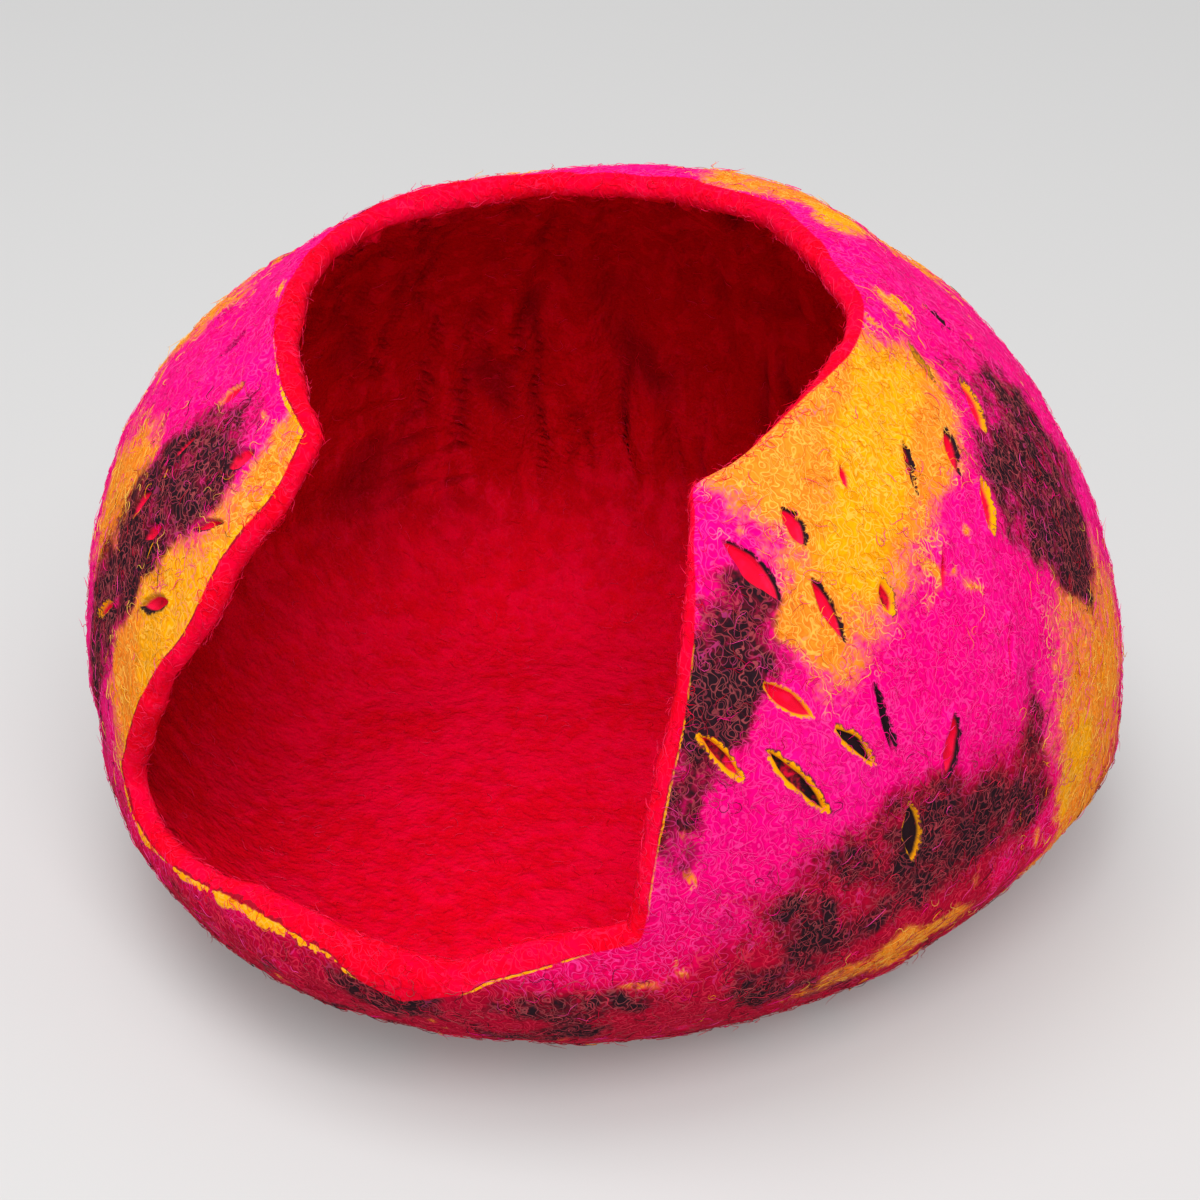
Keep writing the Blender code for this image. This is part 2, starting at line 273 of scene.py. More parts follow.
def slashRows():
    # The front's, then the back's: each value stands at (number + 1/2) times its own step, less
    # whole turns, of the way between its ends.
    number = np.arange(slashes["backCount"])[:, None] + 0.5
    golden = slashes["golden"]
    steps = (golden, 1.0 / slashes["backCount"], golden ** 2, 3 * golden, 5 * golden,
             7 * golden, 4 * golden, 9 * golden)
    low, high = np.array(slashes["backEnds"]).T
    rows = low + (high - low) * (number * steps % 1.0)
    rows[:, 5:] = np.maximum(rows[:, 5:], 0.0)
    return np.concatenate([slashes["front"], rows])


def slashField(points):
    # The signed distance in mm to the nearest slash, where two discs of radius (half length^2 +
    # half width^2) / width overlap, how far along it and on which side a point is, and its looks.
    distance = np.full(len(points), slashes["reach"])
    along, side, looks = np.zeros(len(points)), np.zeros(len(points)), np.zeros((len(points), 3))
    for bearing, lift, length, width, turn, *look in slashRows():
        middle, lengthwise, across = markAt(bearing, lift, turn)[:3]
        offset = (points - middle) * 1000
        near = np.flatnonzero((offset ** 2).sum(-1) < (length / 2 + slashes["reach"] + 2) ** 2)
        x = offset[near] @ lengthwise
        y = offset[near] @ across
        bent = y
        for much, size, seed in slashes["wander"]:
            bent = bent + much * softNoise(points[near], size, seed)
        half, deep = length / 2, width / 2
        discRadius = (half ** 2 + deep ** 2) / (2 * deep)
        pastTip = (np.abs(x) - half) * (discRadius - deep) > np.abs(bent) * half
        toTip = np.hypot(np.abs(x) - half, bent)
        toArc = np.hypot(x, np.abs(bent) + discRadius - deep) - discRadius
        found = np.where(pastTip, toTip, toArc)
        closer = found < distance[near]
        at = near[closer]
        distance[at] = found[closer]
        along[at] = x[closer] / half
        side[at] = np.sign(y[closer])
        looks[at] = look
    fade = smoothStep(slashes["reach"] * 0.8, slashes["reach"] * 0.4, distance)[:, None]
    return distance, along * fade[:, 0], side * fade[:, 0], looks * fade


# masses of dyed wool, laid over each other on magenta
marbling = {
    # bearing, lift, length and width in mm, turn from upright, and the wool: 0 is orange, 1 yellow,
    # 2 charcoal, 3 crimson and -1 the ground
    "masses": (
        (-32, 50, 128, 88, 45, 0), (-36, 50, 90, 46, -83, 0), (-12, 53, 66, 46, 21, 0),
        (-31, 45, 90, 40, 50, 1), (-14, 58, 50, 30, 30, 1), (-53, 41, 60, 46, -24, -1),
        (-55, 28, 48, 62, 0, 2), (-61, 16, 84, 36, 10, 2), (-44, 28, 46, 24, -8, 0),
        (4, 32, 88, 84, 30, 2), (1, 0, 118, 94, 6, 0), (3, 20, 60, 52, -9, 2),
        (-8, -8, 56, 28, 10, 1), (-17, -4, 84, 22, 0, 2), (-37, -9, 136, 84, 84, 3),
        (-36, -3, 92, 44, -80, 2), (-49, -13, 56, 30, -36, 2), (-24, -6, 66, 34, -52, 2),
        (-36, -14, 84, 22, 82, 2), (-36, -27, 76, 24, 84, 0), (-6, -22, 50, 26, 71, 0),
        (-71, -24, 110, 40, 86, 3), (-72, -20, 64, 16, 84, 2), (66, 74, 70, 36, 84, 0),
        (44, 72, 40, 22, 84, 1), (10, 64, 26, 16, 29, 0), (-146, 25, 72, 76, -8, 0),
        (-142, 40, 44, 40, -19, -1), (-137, 26, 128, 60, 9, 2), (-129, 39, 40, 34, -38, 2),
        (-119, 41, 74, 28, 8, 0), (-124, 13, 128, 56, 17, 1), (-132, 4, 60, 30, 10, 0),
        (-137, -9, 50, 30, -40, -1), (-142, 4, 84, 34, -8, 2), (166, 68, 34, 12, -81, 2),
        (46, 22, 130, 66, 40, 2), (40, -2, 110, 60, 70, 3), (66, 46, 120, 60, -50, 1),
        (68, 44, 150, 84, -50, 0), (88, 16, 140, 60, 28, -1), (98, 40, 96, 54, 20, 2),
        (104, 0, 120, 50, 78, 0), (122, 22, 150, 62, 30, 0), (124, 24, 84, 34, 30, 1),
        (146, 42, 120, 52, -24, -1), (158, 18, 140, 58, 22, 2), (170, 0, 100, 52, 80, 3),
        (182, 36, 110, 56, 34, 0), (196, 6, 110, 48, 12, -1), (84, 58, 74, 34, 66, 2),
        (112, -8, 120, 36, 84, 2), (134, 62, 60, 30, -60, 0), (150, -14, 90, 30, 82, 0),
    ),
    "halfSide": 0.00054,  # metres to a mass's side for each mm of length or width
    "halfDepth": 0.0007,  # the same through the felt
    "edge": (1.50, 0.60),  # shares of that between which it sets in
    "cover": (0.86, 0.26),  # how fully a mass covers, and how much that varies
    "charcoalCover": (0.82, 0.40),
    # strength, size in metres and seed of each noise; pushes move the edges about
    "pushes": ((0.012, 0.045, 11), (0.006, 0.016, 23), (0.0022, 0.006, 31)),
    "mottle": ((1.0, 0.017, 41), (0.8, 0.0075, 43)),
    "flecks": (1.0, 0.011, 61),
    "fleckRare": (0.64, 0.89),  # noise over which an orange fleck sets in
    "fleckCover": 0.8,
    "lowBand": (0.105, 0.050),  # metres up, over which crimson mottling sets in
    "lowWander": (0.026, 0.06, 47),
    "lowPatches": (1.0, 0.026, 53),  # of charcoal
    "lowCover": 0.85,
}


def woolWeights(points):
    # Each mass is an ellipsoid pushed about by noise, through which one less its cover shows. Then
    # flecks and crimson go on the bare ground, and charcoal over all.
    pushed = points
    for strength, size, seed in marbling["pushes"]:
        pushed = pushed + strength * noiseVector(points, size, seed)
    mottle = layeredNoise(pushed, *marbling["mottle"])[:, None]
    weights = np.zeros((len(points), 4))
    for bearing, lift, length, width, turn, kind in marbling["masses"]:
        middle, lengthwise, across, outward = markAt(bearing, lift, turn)
        offset = pushed - middle
        far = np.sqrt((offset @ lengthwise / (length * marbling["halfSide"])) ** 2
                      + (offset @ across / (width * marbling["halfSide"])) ** 2
                      + (offset @ outward / (length * marbling["halfDepth"])) ** 2)
        plain, mottled = marbling["charcoalCover" if kind == 2 else "cover"]
        cover = smoothStep(*marbling["edge"], far)[:, None] * (plain + mottled * mottle)
        weights = weights * (1 - cover) + np.eye(5)[kind, :4] * cover

    orange, charcoal, crimson = np.eye(4)[[0, 2, 3]]
    fleck = smoothStep(*marbling["fleckRare"], layeredNoise(pushed, marbling["flecks"]))[:, None]
    bare = 1 - weights.sum(-1, keepdims=True)
    weights = weights + marbling["fleckCover"] * orange * (fleck * bare)
    height = points[:, 2] + layeredNoise(points, marbling["lowWander"])
    low = smoothStep(*marbling["lowBand"], height)[:, None]
    patches = layeredNoise(pushed, marbling["lowPatches"])[:, None] - 0.5 * mottle
    dark = low * smoothStep(-0.1, 0.7, patches) * marbling["lowCover"]
    bare = 1 - weights.sum(-1, keepdims=True)
    weights = weights + crimson * (low * smoothStep(-1.4, -0.1, mottle)) * bare
    dark = dark * (1 - 0.8 * weights[:, :2].sum(-1, keepdims=True))
    return weights * (1 - dark) + charcoal * dark


shell = {
    "outerRows": 118,  # from the rim to the back
    "innerRows": 92,
    "roundSteps": 8,  # rows round the cut edge
    "rowCrowd": 1.1,  # over 1 crowds them at the rim
    "outerHalves": (0.5, 0.78),  # shares of the way back where columns are halved
    "innerHalves": (0.5, 0.86),
    "faceTurn": 3.14,  # radians round the edge to where the inner face begins
    "unevenness": 0.0011,  # metres of slow unevenness
    "creases": 0.0042,  # metres of upright creases inside
    # height in metres or strength, size in metres and seed of each noise
    "slow": ((1.0, 0.048, 1), (0.6, 0.024, 2)),
    "lumps": (0.0009, 0.0105, 4),
    "folds": (0.0056, 0.016, 8),  # inside, as are the pebbles
    "pebbles": (0.0016, 0.0075, 12),
    "creaseLines": (1.0, 0.013, 6),
    "creasePush": (0.004, 0.03, 9),
    "stretch": (0.2, 0.16),  # metres a radian round and a metre up, which makes them upright
    "foldStretch": 0.6,
    "standing": (0.03, 0.09),  # metres up, over which creases and folds set in
    "floorFade": (0.004, 0.03),  # metres up, over which the outer lumps set in
    "batch": 4000,  # points measured against the rim at a time
}


def joinRings(first, second, flip):
    # Two triangles for each column between two rings of vertex numbers, or three for each pair of
    # columns where the second ring has half as many.
    after, other = np.roll(first, -1), np.roll(second, -1)
    if len(second) == len(first):
        made = [(first, after, other), (first, other, second)]
    else:
        start, middle, end = first[::2], first[1::2], np.roll(first[::2], -1)
        made = [(start, middle, second), (middle, other, second), (middle, end, other)]
    made = np.concatenate([np.stack(corners, -1) for corners in made])
    return made[:, ::-1] if flip else made


def halveEdges(ways, faces, marked):
    # Every edge of a marked triangle is halved at the unit sum of its ends, and each triangle is
    # cut along its halved edges into two, three or four.
    count = len(ways)
    edges = np.sort(np.stack([faces, np.roll(faces, -1, axis=1)], -1), axis=-1)
    key = edges[..., 0] * count + edges[..., 1]
    split = np.unique(key[marked])
    place = np.minimum(np.searchsorted(split, key), len(split) - 1)
    middle = np.where(split[place] == key, count + place, -1)
    ways = np.concatenate([ways, unit(ways[split // count] + ways[split % count])])
    cuts = (middle >= 0).sum(1)
    parts = [faces[cuts == 0]]
    for many, lead in ((1, np.argmax(middle >= 0, axis=1)), (2, np.argmin(middle >= 0, axis=1) + 1),
                       (3, np.zeros(len(faces), int))):
        rows = np.flatnonzero(cuts == many)
        order = (lead[rows, None] + np.arange(3)) % 3
        a, b, c = np.take_along_axis(faces[rows], order, 1).T
        ab, bc, ca = np.take_along_axis(middle[rows], order, 1).T
        if many == 1:
            made = [(a, ab, c), (ab, b, c)]
        elif many == 2:
            made = [(ab, b, bc), (a, ab, bc), (a, bc, c)]
        else:
            made = [(a, ab, ca), (ab, b, bc), (ca, bc, c), (ab, bc, ca)]
        parts += [np.stack(corners, -1) for corners in made]
    return ways, np.concatenate(parts)


def shellSurface():
    # Rings of unit vectors on great circles from the rim over the outside to the back, half a turn
    # round the edge, and over the inside, joined by triangles that are finer at the slashes.
    rim = np.concatenate([evenLine(mouth["upperRim"], mouth["columns"][0]),
                          evenLine(mouth["lowerRim"], mouth["columns"][1])])
    back = -direction(*mouth["middle"])
    total = len(rim)
    ways, inner, turn, column, faces = [], [], [], [], []

    def addRing(ringWays, isInner, ringTurn, step):
        start = sum(len(one) for one in ways)
        ways.append(ringWays)
        inner.append(np.full(len(ringWays), isInner))
        turn.append(np.full(len(ringWays), ringTurn))
        column.append(np.arange(0, total, step)[:len(ringWays)])
        return np.arange(start, start + len(ringWays))

    def addSide(rows, isInner, last, startStep, halves):
        for share in np.linspace(0, 1, rows + 1)[1:-1] ** shell["rowCrowd"]:
            step = max(4 if share > halves[1] else 2 if share > halves[0] else 1, startStep)
            ring = addRing(toward(rim[::step], back, share), isInner, math.pi * isInner, step)
            faces.append(joinRings(last, ring, not isInner))
            last = ring
        tip = addRing(back[None], isInner, math.pi * isInner, 1)
        fan = np.stack([last, np.roll(last, -1), np.full(len(last), tip[0])], -1)
        faces.append(fan if isInner else fan[:, ::-1])

    last = addRing(rim, 0, 0.0, 1)
    addSide(shell["outerRows"], 0, last, 1, shell["outerHalves"])
    for angle in np.linspace(0, math.pi, shell["roundSteps"] + 1)[1:]:
        ring = addRing(rim, 1, angle, 1)
        faces.append(joinRings(last, ring, False))
        last = ring
    addSide(shell["innerRows"], 1, last, 2, shell["innerHalves"])
    ways, inner, turn, column = (np.concatenate(one) for one in (ways, inner, turn, column))
    faces = np.concatenate(faces)

    for near in slashes["fineReaches"]:
        outside = (inner[faces] == 0).all(1)
        distance = np.full(len(ways), slashes["reach"])
        rows = np.flatnonzero(inner == 0)
        distance[rows] = slashField(bodyPoint(ways[rows]))[0]
        marked = outside & (distance[faces].min(1) < near)
        count = len(ways)
        ways, faces = halveEdges(ways, faces, marked)
        added = len(ways) - count
        inner, turn, column = (np.concatenate([one, np.full(added, value)])
                               for one, value in ((inner, 0), (turn, 0.0), (column, -1)))
    return rim, ways, inner, turn, column, faces


def shellPoints(rim, ways, inner, turn, column):
    # The body outside, the body less the wall inside, and round the edge a half circle: normal times
    # cosine plus inward times sine of the turn. Then each point moves along its normal by the sum
    # of the noises, slashes, creases and folds.
    base = bodyPoint(ways)
    normal = frameAt(ways)[0]
    wall = wallAt(ways)
    within = inner * (turn > shell["faceTurn"])
    point = base - normal * wall * within[:, None]
    outward = np.where(within[:, None] > 0, -normal, normal)

    edge = bodyPoint(rim)
    alongRim = unit(np.roll(edge, -1, axis=0) - np.roll(edge, 1, axis=0))
    onRim = np.abs(ways - rim[column]).max(-1) < 1e-9
    rows = np.flatnonzero((inner == 1) & (column >= 0) & onRim)
    into = unit(np.cross(alongRim[column[rows]], normal[rows]))
    bend = normal[rows] * np.cos(turn[rows])[:, None] + into * np.sin(turn[rows])[:, None]
    point[rows] = base[rows] - normal[rows] * wall[rows] / 2 + wall[rows] / 2 * bend
    outward[rows] = bend

    distance, along, side, looks = slashField(base)
    distance = np.where(inner == 0, distance, slashes["reach"])

    slow = layeredNoise(point, *shell["slow"])
    rise = shell["unevenness"] * slow + layeredNoise(point, shell["lumps"])
    bearing = np.arctan2(base[:, 1], base[:, 0])
    sideways, upward = shell["stretch"]
    upright = np.stack([bearing * sideways, base[:, 2] * upward, 0 * bearing], -1)
    strength, size, seed = shell["creasePush"]
    pushed = upright + strength * noiseVector(point, size, seed)
    crease = smoothStep(0.35, 0.0, np.abs(layeredNoise(pushed, shell["creaseLines"])))
    fold = layeredNoise(upright * (1, shell["foldStretch"], 1), shell["folds"])
    pebble = layeredNoise(point * (1, 1, 0.8), shell["pebbles"])
    standing = smoothStep(*shell["standing"], base[:, 2])
    rise = rise + within * standing * (fold + pebble - shell["creases"] * crease)
    # inside, the looks' last value is the painted shade of a crease
    shaded = standing * crease * smoothStep(-0.5, 0.4, slow)
    looks[:, 2] = np.where(within > 0, shaded, looks[:, 2])

    dip = smoothStep(*slashes["steep"], distance)
    swell = np.exp(-((distance - slashes["swellAt"]) / slashes["swellAt"]) ** 2)
    domed = smoothStep(-0.5, -4.0, distance) * slashes["dome"]
    rise = rise * np.where(within > 0, 1.0, smoothStep(*shell["floorFade"], base[:, 2]))
    rise = rise - slashes["depth"] * dip + slashes["swell"] * swell + domed
    point = point + outward * rise[:, None]
    point[:, 2] = np.maximum(point[:, 2], 0.0)
    return point, distance, along, side, looks


def linked(name, data):
    # An object of that data, in the scene.
    made = bpy.data.objects.new(name, data)
    scene.collection.objects.link(made)
    return made


def newMesh(name, points, faces):
    # A smooth-shaded object, from points and rows of three or four vertex numbers.
    mesh = bpy.data.meshes.new(name)
    mesh.vertices.add(len(points))
    mesh.vertices.foreach_set("co", np.ascontiguousarray(points, np.float32).ravel())
    mesh.loops.add(faces.size)
    mesh.loops.foreach_set("vertex_index", np.ascontiguousarray(faces, np.int32).ravel())
    mesh.polygons.add(len(faces))
    starts = np.arange(0, faces.size, faces.shape[1], dtype=np.int32)
    mesh.polygons.foreach_set("loop_start", starts)
    mesh.polygons.foreach_set("use_smooth", np.full(len(faces), True))
    mesh.update(calc_edges=True)
    return linked(name, mesh)


def giveAttribute(piece, name, values):
    # Three numbers for each vertex make a vector, and four a colour.
    kind, field = (("FLOAT_VECTOR", "vector"), ("FLOAT_COLOR", "color"))[values.shape[1] - 3]
    layer = piece.data.attributes.new(name, kind, "POINT")
    layer.data.foreach_set(field, np.ascontiguousarray(values, np.float32).ravel())


def srgb(red, green, blue):
    # Linear from 0 to 255: ((v + 0.055) / 1.055) ^ 2.4 of each share v, or v / 12.92 near black.
    shares = (red / 255, green / 255, blue / 255)
    linear = (((v + 0.055) / 1.055) ** 2.4 if v > 0.04 else v / 12.92 for v in shares)
    return (*linear, 1.0)


class shaderValue:
    # One output socket, whose operators add Math nodes, or Vector Math nodes for a vector.
    def __init__(self, builder, socket):
        self.builder = builder
        self.socket = socket

    def combined(self, operation, first, second):
        sockets = [one.socket for one in (first, second) if isinstance(one, shaderValue)]
        plain = all(socket.type == "VALUE" for socket in sockets)
        kind = "ShaderNodeMath" if plain else "ShaderNodeVectorMath"
        return self.builder.node(kind, {"operation": operation}, {0: first, 1: second})

    def __abs__(self):
        return self.builder.node("ShaderNodeMath", {"operation": "ABSOLUTE"}, {0: self})

    def most(self, other):
        return self.combined("MAXIMUM", self, other)


def addOperator(name, operation):
    # One operator of a socket with a socket or number, and its reflected form.
    setattr(shaderValue, f"__{name}__", lambda one, other: one.combined(operation, one, other))
    setattr(shaderValue, f"__r{name}__", lambda one, other: one.combined(operation, other, one))


for operator in (("add", "ADD"), ("sub", "SUBTRACT"), ("mul", "MULTIPLY"), ("truediv", "DIVIDE")):
    addOperator(*operator)


class finishBuilder:
    # One material, with short ways to add nodes.
    def __init__(self, name):
        self.material = bpy.data.materials.new(name)
        self.material.use_nodes = True
        self.tree = self.material.node_tree
        self.shader = self.tree.nodes["Principled BSDF"]
        self.place = self.node("ShaderNodeTexCoord", output="Object")

    def node(self, kind, settings=None, inputs=None, output=0):
        # a node's type, its settings, and the values or links of its sockets
        made = self.tree.nodes.new(kind)
        for name, value in (settings or {}).items():
            setattr(made, name, value)
        for name, value in (inputs or {}).items():
            self.feed(made.inputs[name], value)
        return shaderValue(self, made.outputs[output])

    def feed(self, socket, value):
        if isinstance(value, shaderValue):
            self.tree.links.new(value.socket, socket)
        else:
            socket.default_value = value

    def set(self, name, value):
        self.feed(self.shader.inputs[name], value)

    def ramp(self, value, low, high):
        # 0 at low, 1 at high and smooth between them
        return self.node("ShaderNodeMapRange", {"interpolation_type": "SMOOTHSTEP"},
                         {"Value": value, "From Min": low, "From Max": high})

    def mix(self, share, first, second):
        # from the first colour to the second, where a dye goes by its name
        first, second = (wool[one] if isinstance(one, str) else one for one in (first, second))
        return self.node("ShaderNodeMix", {"data_type": "RGBA"}, {0: share, 6: first, 7: second}, 2)

    def over(self, colour, dye, share, low, high):
        # the dye where the share passes from low to high
        return self.mix(self.ramp(share, low, high), colour, dye)

    def blend(self, share, first, second):
        return self.node("ShaderNodeMix", {"data_type": "FLOAT"}, {0: share, 2: first, 3: second})

    def noise(self, place, scale, detail=2.0, rough=0.5, output=0):
        return self.node("ShaderNodeTexNoise", {}, {"Vector": place, "Scale": scale,
                                                    "Detail": detail, "Roughness": rough}, output)

    def dot(self, vector, other):
        return self.node("ShaderNodeVectorMath", {"operation": "DOT_PRODUCT"},
                         {0: vector, 1: other}, "Value")

    def attribute(self, name, output="Vector"):
        return self.node("ShaderNodeAttribute", {"attribute_name": name}, {}, output)

    def parts(self, vector):
        made = self.node("ShaderNodeSeparateXYZ", {}, {0: vector}).socket.node
        return [shaderValue(self, socket) for socket in made.outputs]


wool = {
    "magenta": srgb(255, 0, 126),
    "pink": srgb(255, 10, 136),
    "rose": srgb(228, 0, 60),
    "orange": srgb(255, 138, 34),
    "yellow": srgb(255, 166, 6),
    "charcoal": srgb(40, 24, 31),
    "crimson": srgb(178, 6, 44),
    "red": srgb(250, 0, 54),
    "brightRed": srgb(255, 40, 90),
    "deepRed": srgb(236, 0, 30),
    "wineRedAndShadedRed": srgb(196, 0, 16),
    "paleMagenta": srgb(255, 66, 158),
    "palePeach": srgb(255, 196, 84),
    "tan": srgb(176, 78, 84),
    "dustyRose": srgb(178, 64, 76),
    "brightCrimson": srgb(226, 48, 78),
    "shadow": (0.02, 0.0, 0.006, 1.0),
}

felt = {
    # noises to the metre
    "fineScale": 420.0,
    "middlingScale": 130.0,
    "slowScale": 22.0,
    "swayScale": 205.0,
    "wrinkleScale": 90.0,
    # sets of curling lines: what they lie square to, their sway along each axis, lines to the metre
    "curls": (
        ((0.93, 0.20, 0.30), (2.6, 0.5, 0.8), 235.0),
        ((0.28, 0.93, 0.20), (0.8, 2.6, 0.5), 225.0),
        ((0.60, -0.60, 0.52), (1.2, 0.6, 2.4), 230.0),
    ),
    "curlWidth": 0.088,  # half a line's, as a share of the pitch
    "curlShade": 0.30,  # how dark the painted shadow beside a line is
    "creaseShade": 0.75,
    "bumpStrength": 0.8,
    "bumpDepth": 0.0018,  # metres
    "roughness": 0.97,
    "bedSmoothness": 0.25,
    "shine": 0.03,
}


def curls(build, sway, lean, bend, scale):
    # Even planes square to lean, swayed along bend until they fold, show as curling lines: place dot
    # lean times scale plus sway dot bend. It returns a line's mask, the mask of the painted shadow
    # beside it and its own chance.
    width = felt["curlWidth"]
    phase = build.dot(build.place, lean) * scale + build.dot(sway, bend)
    part = build.node("ShaderNodeMath", {"operation": "FRACT"}, {0: phase})
    number = build.node("ShaderNodeMath", {"operation": "FLOOR"}, {0: phase})
    chance = build.node("ShaderNodeTexWhiteNoise", {"noise_dimensions": "1D"}, {"W": number}, "Value")
    line = build.ramp(abs(part - 0.5), width, width * 0.3)
    shadow = build.ramp(abs(part - 0.5 - 2.2 * width), 2.2 * width, 0.4 * width)
    return line, shadow, chance


def marbledFelt():
    # The felt's finish. Each wool shows where its weight and a ragged noise pass one half.
    build = finishBuilder("marbledFelt")
    place = build.place
    ramp, mix, over = build.ramp, build.mix, build.over
    orangeShare, yellowShare, charcoalShare = build.parts(build.attribute("woolMix", "Color"))
    crimsonShare = build.attribute("woolMix", "Alpha")
    edgeOut, depth, edgeYellow = build.parts(build.attribute("edge"))
    slashFar, slashAlong, slashSide = build.parts(build.attribute("slash"))
    ringYellow, ringBlack, bedBlackAndCreaseShade = build.parts(build.attribute("slashLookAndCreaseShade"))
    high = build.parts(place)[2]

    deep = ramp(depth, 0.05, 0.10)
    inside = ramp(edgeOut, 0.03, -0.07).most(deep)
    fine = build.noise(place, felt["fineScale"], 1.0, 0.6)
    middling = build.noise(place * (1.0, 1.0, 0.8), felt["middlingScale"], 2.0, 0.6)
    slow = build.noise(place, felt["slowScale"])
    sway = build.noise(place, felt["swayScale"], 0.0, output="Color")
    curlOne, shadeOne, chanceOne = curls(build, sway, *felt["curls"][0])
    curlTwo, shadeTwo, chanceTwo = curls(build, sway, *felt["curls"][1])
    curlLast, shadeLast, chanceLast = curls(build, sway, *felt["curls"][2])
    fibre = curlOne.most(curlTwo).most(curlLast)
    shade = shadeOne.most(shadeTwo).most(shadeLast)
    chance = build.blend(curlOne, build.blend(curlTwo, chanceLast, chanceTwo), chanceOne)
    ragged = (middling - 0.5) * 0.9 + (fine - 0.5) * 0.5
    patchy = ramp(middling, 0.36, 0.62)

    # how much of each wool shows, in the matted ground and then in the curls on it
    dark = charcoalShare + crimsonShare
    warm = (orangeShare + yellowShare) / (1.02 - dark)
    golden = yellowShare / (1.02 - dark)
    colour = over("magenta", "pink", slow + ragged * 0.2, 0.42, 0.72)
    colour = over(colour, "rose", high + ragged * 0.04, 0.17, 0.05)
    colour = over(colour, "orange", warm + ragged, 0.22, 0.78)
    colour = over(colour, "yellow", golden + ragged, 0.20, 0.80)
    colour = over(colour, "crimson", dark + ragged, 0.15, 0.85)
    colour = over(colour, "charcoal", charcoalShare + ragged, 0.20, 0.95)
    chosen = (chance - 0.5) * 0.9
    pale = over("paleMagenta", "palePeach", warm + chosen, 0.35, 0.65)
    darkCurl = over("dustyRose", "tan", slow + chosen * 0.2, 0.44, 0.60)
    darkCurl = over(darkCurl, "brightCrimson", crimsonShare + chosen, 0.3, 0.7)
    pale = mix(ramp(dark + chosen, 0.30, 0.70), pale, darkCurl)
    # painted shadow: the ground beside each curling line is darkened toward the shadow colour
    shaded = mix(0.65, colour, "shadow")
    outside = mix(shade * felt["curlShade"], colour, shaded)
    outside = mix(fibre * (0.30 + 0.45 * chance), outside, pale)

    # rings and beds of the slashes; the black ring is the black wool layer, darkened on one side by
    # painted shadow
    off = slashFar * 10.0 + ragged * 5.0 + (fibre - 0.5) * 0.5
    ringEdge = ringYellow * (14.0 * patchy - 1.5)
    blackRingAndCutShadow = ramp(off, ringEdge + ringBlack * 10.0 + 0.5, ringEdge)
    blackRingAndCutShadow = blackRingAndCutShadow * ramp(ringBlack, 0.005, 0.03)
    # painted shadow: the black ring is kept strong on one side of the cut and weakened on the other
    blackRingAndCutShadow = blackRingAndCutShadow * (1.0 - 0.7 * ramp(slashSide, -0.3, 0.5))
    yellowRing = ramp(off, ringEdge + 0.45, ringEdge - 0.45)
    yellowRing = yellowRing * ramp(ringYellow, 0.03, 0.07)
    bed = ramp(slashFar * 10.0, 0.0, -0.8)
    outside = mix(blackRingAndCutShadow, outside, "charcoal")
    outside = mix(yellowRing, outside, "yellow")
    # painted light: each bed is paler pink toward one end and redder toward the other
    lit = 0.4 + ramp(slashAlong, -0.9, 0.7) * 0.5
    bedColour = mix(lit, "brightRed", "red")
    bedColour = mix(patchy * 0.5, bedColour, "wineRedAndShadedRed")
    bedColour = over(bedColour, "charcoal", bedBlackAndCreaseShade + ragged, 0.25, 0.65)
    outside = mix(bed, outside, bedColour)

    # the red inside, with painted shade darkening it further in, up the walls, in upright streaks and
    # in the creases, and the yellow layer that shows at the cut edge with a painted shadow in the gap
    # beside it
    redShade = over("deepRed", "red", slow * 0.5 + middling * 0.5, 0.38, 0.62)
    wrinkleShade = build.noise(place * (1.0, 1.0, 0.3), felt["wrinkleScale"])
    # painted shade: the inner red darkens further from the rim and up the walls, in upright streaks
    paintedDepthShade = ramp(depth, 0.15, 1.2) * ramp(high, -0.03, 0.12)
    paintedDepthShade = paintedDepthShade * (0.7 + 0.6 * ramp(wrinkleShade, 0.60, 0.42))
    redShade = mix(paintedDepthShade, redShade, "wineRedAndShadedRed")
    # painted shade: along the creases inside the red darkens toward a shadow colour
    creaseShadowColour = mix(0.6, "wineRedAndShadedRed", "shadow")
    redShade = mix(bedBlackAndCreaseShade * deep * felt["creaseShade"], redShade, creaseShadowColour)
    redShade = mix(fibre * chance * (0.5 - 0.34 * deep), redShade, "brightRed")
    lineWide = edgeYellow * ramp(middling, 0.30, 0.62) * 1.3
    across = edgeOut - lineWide * 0.4 + ragged * 0.16
    # painted shadow: a dark line in the gap on the inner side of the yellow layer
    gap = ramp(abs(across + lineWide * 0.5), lineWide * 0.35 + 0.06, lineWide * 0.35)
    line = ramp(abs(across), lineWide * 0.60, lineWide * 0.40)
    showing = ramp(lineWide, 0.04, 0.10)
    colour = mix(inside, outside, redShade)
    colour = mix(gap * showing * 0.6, colour, "charcoal")
    strand = mix(fibre * 0.5, "yellow", "palePeach")
    colour = mix(line * showing, colour, strand)
    build.set("Base Color", colour)

    height = fine * 0.35 + middling * (0.9 + 1.6 * deep)
    height = height * (1.0 - bed * 0.85)
    build.set("Normal", build.node("ShaderNodeBump", {}, {
        "Height": height, "Strength": felt["bumpStrength"], "Distance": felt["bumpDepth"]}))
    build.set("Roughness", felt["roughness"] - bed * felt["bedSmoothness"])
    build.set("Specular IOR Level", felt["shine"])
    return build.material


